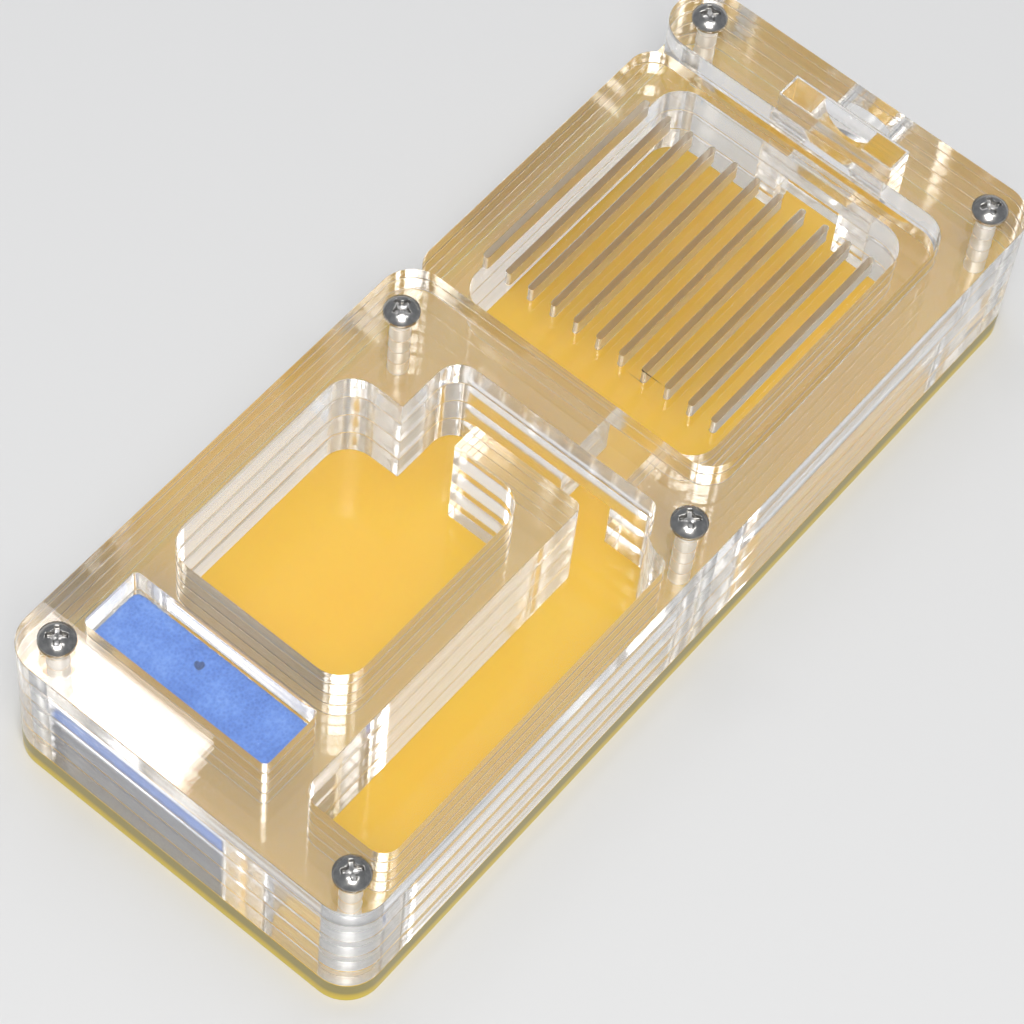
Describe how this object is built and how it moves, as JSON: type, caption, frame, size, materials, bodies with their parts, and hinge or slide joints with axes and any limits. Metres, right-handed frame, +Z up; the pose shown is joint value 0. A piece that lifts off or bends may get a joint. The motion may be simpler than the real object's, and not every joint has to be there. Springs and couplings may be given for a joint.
{
  "type": "ant habitat",
  "caption": "Flat clear nest for ants in stacked sheets: amber base, sponge well, chamber, corridor, arena under a slitted lift-off lid, sliding gate and round port.",
  "frame": {"origin": "centre of the underside of the base plate", "axes": "+Z up out of the cover, +Y from the sponge end to the gate end, +X to the right seen from the sponge end"},
  "size_m": [0.067, 0.162, 0.0311],
  "materials": {
    "amber_acrylic": "polished translucent amber sheet",
    "clear_acrylic": "polished clear acrylic with bright cut edges",
    "blue_sponge": "fine open-cell foam",
    "dark_nickel": "dark nickel plated"
  },
  "bodies": {
    "nest": {"base_plate": "amber_acrylic", "lowest_frame": "clear_acrylic", "second_frame": "clear_acrylic", "third_frame": "clear_acrylic", "recess_frame": "clear_acrylic", "top_cover": "clear_acrylic", "sponge": "blue_sponge", "screws": "dark_nickel"},
    "lid": {"arena_lid": "clear_acrylic"},
    "gate": {"port_gate": "clear_acrylic"}
  },
  "joints": [
    {"name": "lid_lift", "type": "slide", "parent": "nest", "child": "lid", "axis": [0, 0, 1], "range_m": [0, 0.02]},
    {"name": "gate_slide", "type": "slide", "parent": "nest", "child": "gate", "axis": [0, 0, 1], "range_m": [0, 0.026]}
  ]
}
